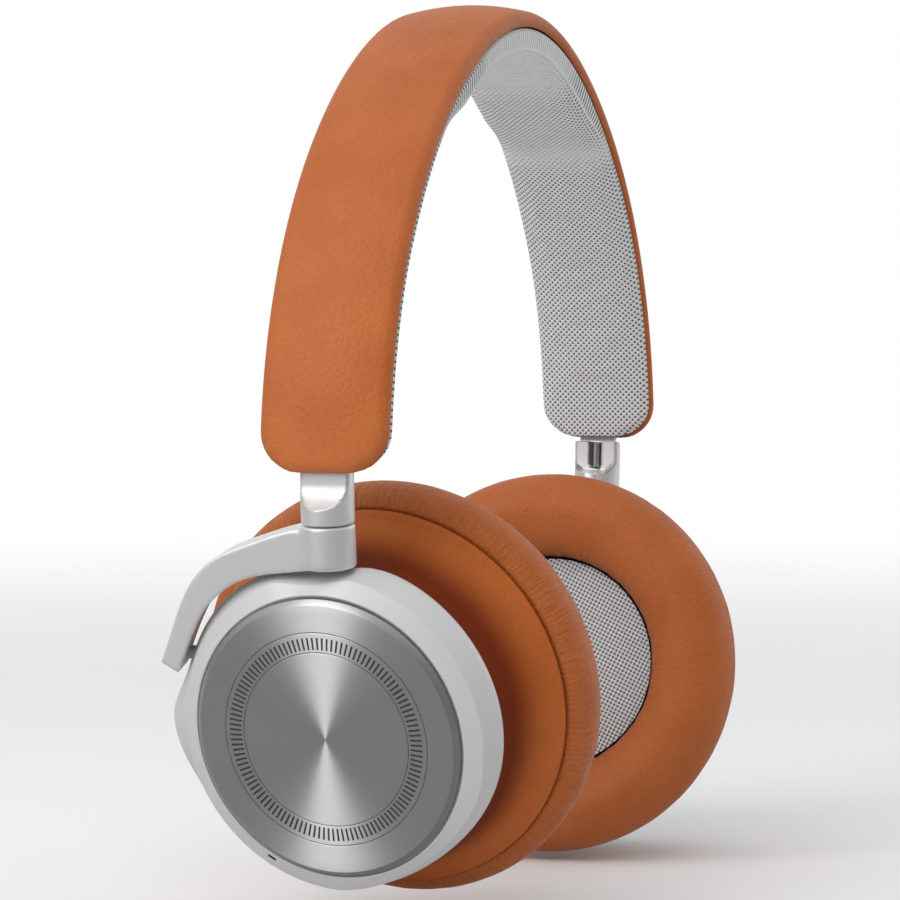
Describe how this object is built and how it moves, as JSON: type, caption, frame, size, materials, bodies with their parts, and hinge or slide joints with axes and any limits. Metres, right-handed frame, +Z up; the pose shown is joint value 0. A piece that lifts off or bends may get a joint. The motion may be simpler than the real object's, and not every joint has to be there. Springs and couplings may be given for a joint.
{
  "type": "over-ear headphones",
  "caption": "Over-ear headphones with a padded leather headband, curved metal sliders, one-sided arms and round ear cups that slide, swivel and tilt.",
  "frame": {"origin": "underside of the crown pad, where it rests on the head", "axes": "+X towards the wearer's left cup, -Y to the wearer's front, +Z up"},
  "size_m": [0.1994, 0.0937, 0.2022],
  "materials": {
    "cognac_leather": "smooth tanned leather, satin, fine grain",
    "cushion_leather": "soft padded leather, satin, fine wrinkles",
    "grey_knit": "light grey open knit, matt",
    "speaker_mesh": "light grey fine diagonal weave, matt",
    "pad_foam": "soft dark foam",
    "black_plastic": "matt black",
    "silver_shell": "satin silver",
    "spun_aluminium": "spun brushed face, polished edge",
    "blasted_aluminium": "fine blasted satin",
    "steel": "plain machined",
    "magnet_steel": "dark plated",
    "circuit_board": "green solder mask",
    "membrane": "thin grey film",
    "cable_jacket": "matt black jacket"
  },
  "bodies": {
    "headband": {"headband_leather_cover": "cognac_leather", "headband_knit_cover": "grey_knit", "headband_foam": "pad_foam", "headband_core": "black_plastic", "headband_spring": "steel", "headband_cable": "cable_jacket", "slider_guide_right": "black_plastic", "slider_guide_left": "black_plastic", "band_end_cap_right": "black_plastic", "band_end_cap_left": "black_plastic"},
    "slider_right": {"slider_barrel_right": "blasted_aluminium", "cable_sleeve_right": "steel", "slider_strip_right": "steel", "swivel_pin_right": "steel"},
    "arm_right": {"arm_right": "blasted_aluminium", "tilt_pin_right": "steel"},
    "cup_right": {"cushion_right": "cushion_leather", "cushion_plate_right": "black_plastic", "speaker_cloth_right": "speaker_mesh", "baffle_right": "black_plastic", "diaphragm_right": "membrane", "driver_clamp_ring_right": "steel", "driver_frame_right": "black_plastic", "magnet_right": "magnet_steel", "housing_right": "black_plastic", "leather_wrap_right": "cognac_leather", "circuit_board_right": "circuit_board", "disc_right": "spun_aluminium", "outer_shell_right": "silver_shell", "pivot_block_right": "steel", "microphone_right": "black_plastic", "charging_port": "steel", "radio_module": "circuit_board"},
    "slider_left": {"slider_barrel_left": "blasted_aluminium", "cable_sleeve_left": "steel", "slider_strip_left": "steel", "swivel_pin_left": "steel"},
    "arm_left": {"arm_left": "blasted_aluminium", "tilt_pin_left": "steel"},
    "cup_left": {"cushion_left": "cushion_leather", "cushion_plate_left": "black_plastic", "speaker_cloth_left": "speaker_mesh", "baffle_left": "black_plastic", "diaphragm_left": "membrane", "driver_clamp_ring_left": "steel", "driver_frame_left": "black_plastic", "magnet_left": "magnet_steel", "housing_left": "black_plastic", "leather_wrap_left": "cognac_leather", "circuit_board_left": "circuit_board", "disc_left": "spun_aluminium", "outer_shell_left": "silver_shell", "pivot_block_left": "steel", "microphone_left": "black_plastic", "headphone_socket": "steel", "battery": "black_plastic"},
    "power_switch": {"power_switch": "blasted_aluminium"},
    "function_button": {"function_button": "blasted_aluminium"},
    "noise_control_button": {"noise_control_button": "blasted_aluminium"}
  },
  "joints": [
    {"name": "slide_right", "type": "hinge", "parent": "headband", "child": "slider_right", "pos_m": [0, 0, -0.0918], "axis": [0, -1, 0], "range_deg": [-3.4, 14]},
    {"name": "swivel_right", "type": "hinge", "parent": "slider_right", "child": "arm_right", "pos_m": [-0.09366, 0, -0.1028], "axis": [-0.1167, 0, 0.9932], "range_deg": [-15, 86]},
    {"name": "tilt_right", "type": "hinge", "parent": "arm_right", "child": "cup_right", "pos_m": [-0.08796, -0.00019, -0.13083], "axis": [-0.0779, -0.9969, -0.0092], "range_deg": [-13, 4]},
    {"name": "slide_left", "type": "hinge", "parent": "headband", "child": "slider_left", "pos_m": [0, 0, -0.0918], "axis": [0, 1, 0], "range_deg": [-4.8, 12.6]},
    {"name": "swivel_left", "type": "hinge", "parent": "slider_left", "child": "arm_left", "pos_m": [0.09336, 0, -0.10509], "axis": [-0.1409, 0, -0.99], "range_deg": [-13, 88]},
    {"name": "tilt_left", "type": "hinge", "parent": "arm_left", "child": "cup_left", "pos_m": [0.08697, -0.00011, -0.13296], "axis": [-0.0432, 0.999, 0.0061], "range_deg": [-8, 9]},
    {"name": "power_switch_slide", "type": "slide", "parent": "cup_right", "child": "power_switch", "axis": [0.1116, -0.6192, -0.7773], "range_m": [-0.0015, 0.0015]},
    {"name": "function_button_press", "type": "slide", "parent": "cup_right", "child": "function_button", "axis": [-0.1277, -0.9612, 0.2446], "range_m": [0, 0.0008], "stiffness_N_per_m": 1500},
    {"name": "noise_control_button_press", "type": "slide", "parent": "cup_left", "child": "noise_control_button", "axis": [0.0746, -0.9652, 0.2508], "range_m": [0, 0.0008], "stiffness_N_per_m": 1500}
  ]
}
